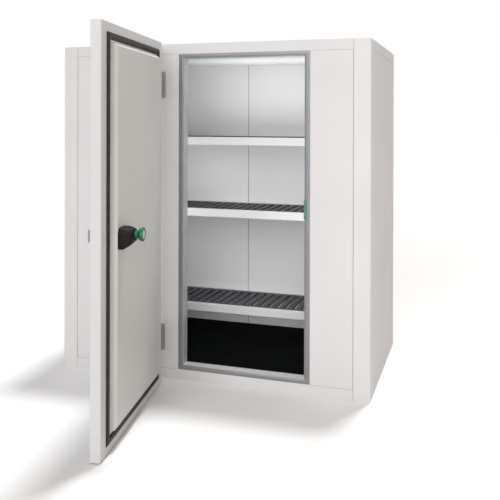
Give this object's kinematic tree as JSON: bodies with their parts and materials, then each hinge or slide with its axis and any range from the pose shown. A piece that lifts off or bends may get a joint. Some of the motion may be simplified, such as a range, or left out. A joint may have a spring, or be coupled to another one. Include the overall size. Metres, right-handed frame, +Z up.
{
  "type": "walk-in cold room",
  "caption": "Walk-in cold room of insulated sandwich panels with corner posts, a framed doorway, a thick hinged door with an inside release knob, and shelving.",
  "frame": {"origin": "on the ground, in the middle of the room's footprint (the floor panel's underside)", "axes": "+Z up; the front with the doorway faces -Y; +X is to the right seen from the front"},
  "size_m": [1.93, 2.1131, 2],
  "materials": {
    "panel_skin": "white coated steel skin, satin",
    "floor_covering": "dark anti-slip floor covering",
    "door_frame": "grey satin profile",
    "latch_keeper": "teal green plastic",
    "hinge": "dark grey",
    "hinge_pin": "bright pin",
    "shelf_upright": "satin",
    "shelf_rail": "white, satin",
    "shelf_deck": "blue grey slotted deck",
    "door_plug": "off-white inner skin of the door",
    "door_gasket": "black seal",
    "release_housing": "black moulded housing",
    "release_knob": "green moulded knob with a pale face",
    "outside_handle": "grey moulded handle"
  },
  "bodies": {
    "room": {"floor_panel": "panel_skin", "floor_covering": "floor_covering", "ceiling_panel": "panel_skin", "corner_post_front_left": "panel_skin", "corner_post_front_right": "panel_skin", "corner_post_back_right": "panel_skin", "corner_post_back_left": "panel_skin", "front_wall_left": "panel_skin", "front_wall_right": "panel_skin", "side_wall_right": "panel_skin", "back_wall_right": "panel_skin", "back_wall_left": "panel_skin", "side_wall_left": "panel_skin", "frame_jamb_left": "door_frame", "frame_jamb_right": "door_frame", "frame_sill": "door_frame", "frame_head": "door_frame", "latch_keeper": "latch_keeper", "hinge_wall_plate_upper": "hinge", "hinge_wall_plate_lower": "hinge", "hinge_pin_upper": "hinge_pin", "hinge_pin_lower": "hinge_pin", "shelf_upright_front_left": "shelf_upright", "shelf_upright_front_right": "shelf_upright", "shelf_upright_back_left": "shelf_upright", "shelf_upright_back_right": "shelf_upright", "shelf_front_rail_top": "shelf_rail", "shelf_back_rail_top": "shelf_rail", "shelf_deck_top": "shelf_deck", "shelf_front_rail_middle": "shelf_rail", "shelf_back_rail_middle": "shelf_rail", "shelf_deck_middle": "shelf_deck", "shelf_front_rail_low": "shelf_rail", "shelf_back_rail_low": "shelf_rail", "shelf_deck_low": "shelf_deck"},
    "door": {"door_leaf": "panel_skin", "door_plug": "door_plug", "door_gasket": "door_gasket", "hinge_strap_upper": "hinge", "hinge_strap_lower": "hinge", "handle_housing": "release_housing", "outside_handle": "outside_handle"},
    "knob": {"release_knob": "release_knob"}
  },
  "joints": [
    {"name": "door_hinge", "type": "hinge", "parent": "room", "child": "door", "pos_m": [-0.297, -0.587, 1], "axis": [0, 0, 1], "range_deg": [-39.75, 80.25]},
    {"name": "knob_push", "type": "slide", "parent": "door", "child": "knob", "axis": [-0.9856, -0.1693, 0], "range_m": [0, 0.012], "stiffness_N_per_m": 400, "springref_m": -0.01}
  ]
}
